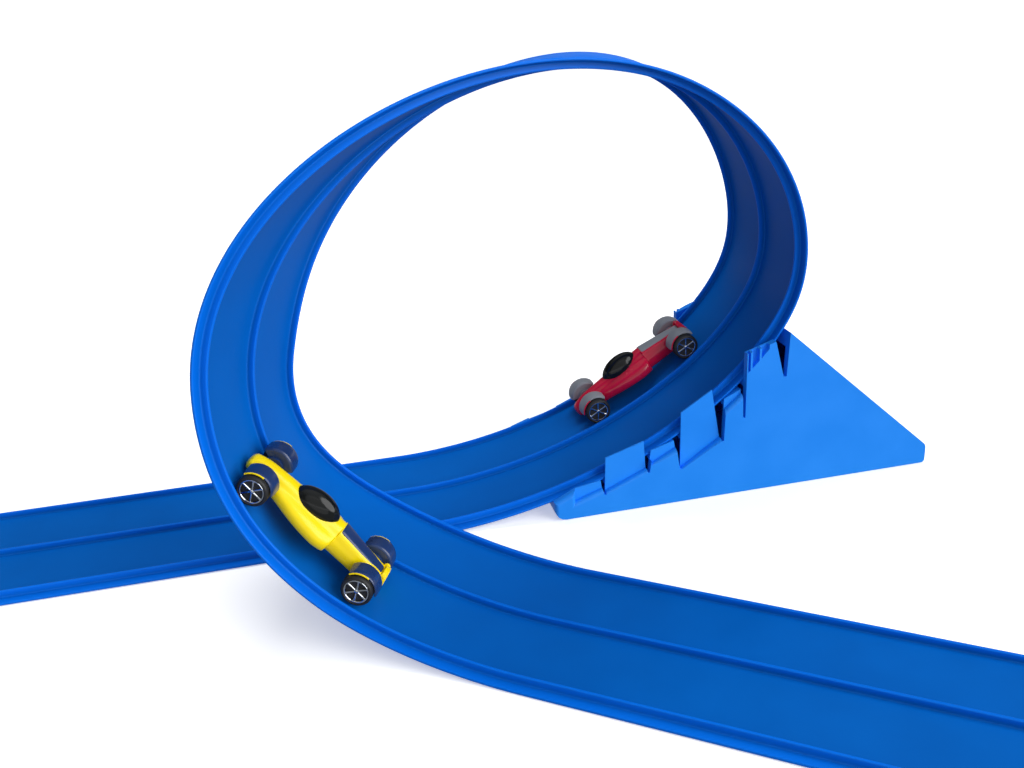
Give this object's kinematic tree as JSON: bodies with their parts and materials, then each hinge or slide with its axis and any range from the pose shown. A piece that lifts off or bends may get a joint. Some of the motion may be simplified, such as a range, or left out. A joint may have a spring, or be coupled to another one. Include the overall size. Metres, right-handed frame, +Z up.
{
  "type": "toy race car track",
  "caption": "Flexible two-lane toy race track bent into a loop over a tabbed wedge, with small die-cast style race cars whose wheels roll along the lanes.",
  "frame": {"origin": "on the floor under the middle of the bounding box", "axes": "+X along the straight lead-in towards the climb, +Y from the loop's exit side towards the lead-in, +Z up"},
  "size_m": [0.5088, 0.3408, 0.2295],
  "materials": {
    "track_blue": "glossy blue flexible plastic",
    "wedge_blue": "satin light blue moulded plastic",
    "yellow_paint": "glossy yellow paint",
    "red_paint": "glossy dark red paint",
    "navy_trim": "satin navy plastic",
    "grey_trim": "satin grey plastic",
    "black_canopy": "polished black plastic",
    "black_tyre": "satin black hard plastic",
    "chrome_hub": "bright chrome plating",
    "axle_steel": "plain steel wire"
  },
  "bodies": {
    "track": {"flexible_track": "track_blue", "loop_wedge": "wedge_blue"},
    "yellow_car": {"yellow_car_body_shell": "yellow_paint", "yellow_car_chassis": "navy_trim", "yellow_car_canopy": "black_canopy", "yellow_car_engine_cover": "navy_trim"},
    "yellow_car_front_wheels": {"yellow_car_front_axle": "axle_steel", "yellow_car_front_left_tyre": "black_tyre", "yellow_car_front_left_hub": "chrome_hub", "yellow_car_front_right_tyre": "black_tyre", "yellow_car_front_right_hub": "chrome_hub"},
    "yellow_car_rear_wheels": {"yellow_car_rear_axle": "axle_steel", "yellow_car_rear_left_tyre": "black_tyre", "yellow_car_rear_left_hub": "chrome_hub", "yellow_car_rear_right_tyre": "black_tyre", "yellow_car_rear_right_hub": "chrome_hub"},
    "red_car": {"red_car_body_shell": "red_paint", "red_car_chassis": "grey_trim", "red_car_canopy": "black_canopy", "red_car_engine_cover": "grey_trim"},
    "red_car_front_wheels": {"red_car_front_axle": "axle_steel", "red_car_front_left_tyre": "black_tyre", "red_car_front_left_hub": "chrome_hub", "red_car_front_right_tyre": "black_tyre", "red_car_front_right_hub": "chrome_hub"},
    "red_car_rear_wheels": {"red_car_rear_axle": "axle_steel", "red_car_rear_left_tyre": "black_tyre", "red_car_rear_left_hub": "chrome_hub", "red_car_rear_right_tyre": "black_tyre", "red_car_rear_right_hub": "chrome_hub"}
  },
  "joints": [
    {"name": "yellow_car_travel", "type": "hinge", "parent": "track", "child": "yellow_car", "pos_m": [-0.03447, -0.00826, 0.09416], "axis": [0.5389, 0.8307, 0.1396], "range_deg": [-16, 8]},
    {"name": "yellow_car_front_wheels_spin", "type": "hinge", "parent": "yellow_car", "child": "yellow_car_front_wheels", "pos_m": [-0.09099, 0.03429, 0.06928], "axis": [-0.4114, -0.9114, -0.0028], "range_deg": [-190, 95]},
    {"name": "yellow_car_rear_wheels_spin", "type": "hinge", "parent": "yellow_car", "child": "yellow_car_rear_wheels", "pos_m": [-0.05398, 0.01772, 0.02505], "axis": [-0.4114, -0.9114, -0.0028], "range_deg": [-197, 99]},
    {"name": "red_car_travel", "type": "hinge", "parent": "track", "child": "red_car", "pos_m": [0.00319, 0.14239, 0.21773], "axis": [0, 1, 0], "range_deg": [-6, 3.5]},
    {"name": "red_car_front_wheels_spin", "type": "hinge", "parent": "red_car", "child": "red_car_front_wheels", "pos_m": [0.08499, 0.14239, 0.03208], "axis": [0, -1, 0], "range_deg": [-182, 107]},
    {"name": "red_car_rear_wheels_spin", "type": "hinge", "parent": "red_car", "child": "red_car_rear_wheels", "pos_m": [0.13603, 0.14239, 0.06362], "axis": [0, -1, 0], "range_deg": [-182, 107]}
  ],
  "couplings": [
    {"joint": "yellow_car_front_wheels_spin", "follows": "yellow_car_travel", "ratio": 11.711},
    {"joint": "yellow_car_rear_wheels_spin", "follows": "yellow_car_travel", "ratio": 11.907},
    {"joint": "red_car_front_wheels_spin", "follows": "red_car_travel", "ratio": 29.982},
    {"joint": "red_car_rear_wheels_spin", "follows": "red_car_travel", "ratio": 30.066}
  ]
}
